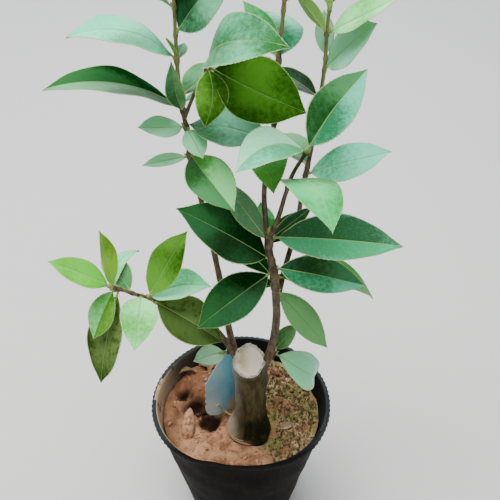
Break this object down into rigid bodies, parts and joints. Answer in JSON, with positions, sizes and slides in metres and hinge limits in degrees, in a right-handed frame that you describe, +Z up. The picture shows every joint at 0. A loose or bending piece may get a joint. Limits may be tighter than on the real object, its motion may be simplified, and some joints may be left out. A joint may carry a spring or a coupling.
{
  "type": "camellia shrub",
  "caption": "Young camellia shrub in a soft black nursery pot, leafy shoots grafted on a sawn stump; a garden plant that stands on its pot.",
  "frame": {"origin": "centre of the pot's flat underside", "axes": "+Z up; -Y is the front that the picture shows; +X is the picture's right"},
  "size_m": [0.2511, 0.1678, 0.5473],
  "materials": {
    "pot": "black moulded plastic, dusty, with a soft sheen on the lip",
    "soil": "dry red-brown clay soil, mossy on one side",
    "bark": "smooth brown-olive bark with a pale sawn face",
    "shoot": "thin brown twig bark",
    "tag": "blue plastic, dusty at the foot",
    "foliage": "leathery glossy leaves, from dark green to light yellow-green"
  },
  "bodies": {
    "root": {"pot": "pot", "soil": "soil", "trunk": "bark", "tag": "tag", "bough_left": "shoot", "bough_low_left": "shoot", "bough_right": "shoot", "bough_centre": "shoot", "bough_middle": "shoot", "bough_back": "shoot", "bough_side": "shoot", "foliage_left": "foliage", "foliage_side": "foliage", "foliage_low_left": "foliage", "foliage_heart": "foliage", "foliage_centre": "foliage", "foliage_middle": "foliage", "foliage_right": "foliage", "foliage_foot_right": "foliage", "foliage_foot_left": "foliage"}
  },
  "joints": []
}
